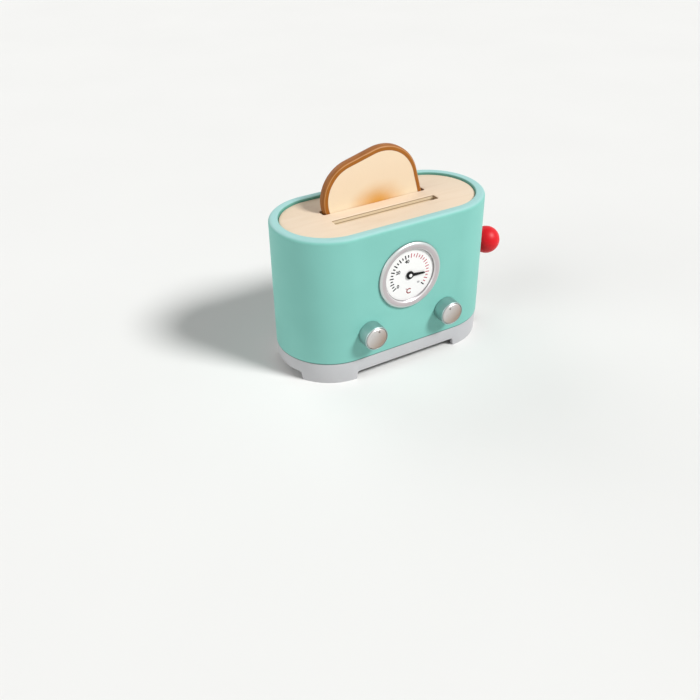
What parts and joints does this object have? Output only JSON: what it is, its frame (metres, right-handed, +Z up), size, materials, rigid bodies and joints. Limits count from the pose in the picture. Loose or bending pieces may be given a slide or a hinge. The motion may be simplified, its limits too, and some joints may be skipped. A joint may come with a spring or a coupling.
{
  "type": "toy toaster",
  "caption": "Oblong toy pop-up toaster, wooden top with two bread slots, side ball lever, round gauge, turning knobs and a slice of toast that lifts out.",
  "frame": {"origin": "centre of the plan outline, on the table surface that the feet stand on", "axes": "+X towards the ball lever, along the body's length; -Y out of the front with the gauge and knobs; +Z up"},
  "size_m": [0.216, 0.1018, 0.1693],
  "materials": {
    "teal_paint": "satin sea-green paint",
    "plywood": "pale birch plywood, clear matt finish",
    "grey_plastic": "light grey, fine matt",
    "silver_plastic": "silvered, satin",
    "white_print": "white printed dial",
    "black_print": "black",
    "red_lacquer": "glossy red lacquer",
    "toast_paint": "painted bread face with a brown crust",
    "steel": "bright zinc plated",
    "spring_steel": "bare wire",
    "copper_wire": "enamelled copper winding",
    "dark_plastic": "black nylon",
    "board_green": "green solder mask",
    "milky_plastic": "milky nylon"
  },
  "bodies": {
    "housing": {"base_screw_left_back": "steel", "base_screw_left_front": "steel", "base_screw_right_back": "steel", "base_screw_right_front": "steel", "base_tray": "grey_plastic", "battery_contact_bridge": "steel", "battery_contact_minus": "steel", "battery_contact_plus": "steel", "battery_door": "grey_plastic", "battery_door_screw": "steel", "board_screw_left": "steel", "board_screw_right": "steel", "body_shell": "teal_paint", "bread_guide_back": "milky_plastic", "bread_guide_front": "milky_plastic", "carriage_spring_left": "spring_steel", "carriage_spring_right": "spring_steel", "circuit_board": "board_green", "gauge_backplate": "grey_plastic", "gauge_bezel": "silver_plastic", "gauge_dial": "white_print", "guide_rod_left": "steel", "guide_rod_right": "steel", "guide_screw_back_left": "steel", "guide_screw_back_right": "steel", "guide_screw_front_left": "steel", "guide_screw_front_right": "steel", "hand_pin": "white_print", "knob_bush_left": "milky_plastic", "knob_bush_right": "milky_plastic", "latch_pin": "steel", "magnet_coil": "copper_wire", "magnet_core": "steel", "magnet_yoke": "steel", "panel_screw_left_back": "steel", "panel_screw_left_front": "steel", "panel_screw_right_back": "steel", "panel_screw_right_front": "steel", "timer_chip": "dark_plastic", "top_panel": "plywood"},
    "carriage": {"toast_carriage": "dark_plastic", "lever_stem": "steel", "lever_nut": "steel", "lever_ball": "red_lacquer"},
    "bread": {"toast_slice": "toast_paint"},
    "left_knob": {"knob_left": "silver_plastic", "knob_cap_left": "silver_plastic", "knob_clip_left": "spring_steel"},
    "right_knob": {"knob_right": "silver_plastic", "knob_cap_right": "silver_plastic", "knob_clip_right": "spring_steel"},
    "hand": {"gauge_hand": "black_print"},
    "latch": {"latch_hook": "steel"}
  },
  "joints": [
    {"name": "lever_slide", "type": "slide", "parent": "housing", "child": "carriage", "axis": [0, 0, -1], "range_m": [0, 0.034], "stiffness_N_per_m": 100, "springref_m": -0.012, "deforming": ["carriage_spring_left", "carriage_spring_right"]},
    {"name": "bread_lift", "type": "slide", "parent": "carriage", "child": "bread", "axis": [0, 0, 1], "range_m": [0, 0.08]},
    {"name": "left_knob_turn", "type": "hinge", "parent": "housing", "child": "left_knob", "pos_m": [-0.05145, -0.0391, 0.0412], "axis": [0, 1, 0], "continuous": true},
    {"name": "right_knob_turn", "type": "hinge", "parent": "housing", "child": "right_knob", "pos_m": [0.02055, -0.0391, 0.0412], "axis": [0, 1, 0], "continuous": true},
    {"name": "hand_turn", "type": "hinge", "parent": "housing", "child": "hand", "pos_m": [-0.01545, -0.0391, 0.0827], "axis": [0, 1, 0], "range_deg": [-219.3, 36.9]},
    {"name": "latch_turn", "type": "hinge", "parent": "housing", "child": "latch", "pos_m": [-0.08895, 0.0059, 0.0365], "axis": [0, 1, 0], "range_deg": [0, 16], "stiffness_Nm_per_rad": 0.002}
  ]
}
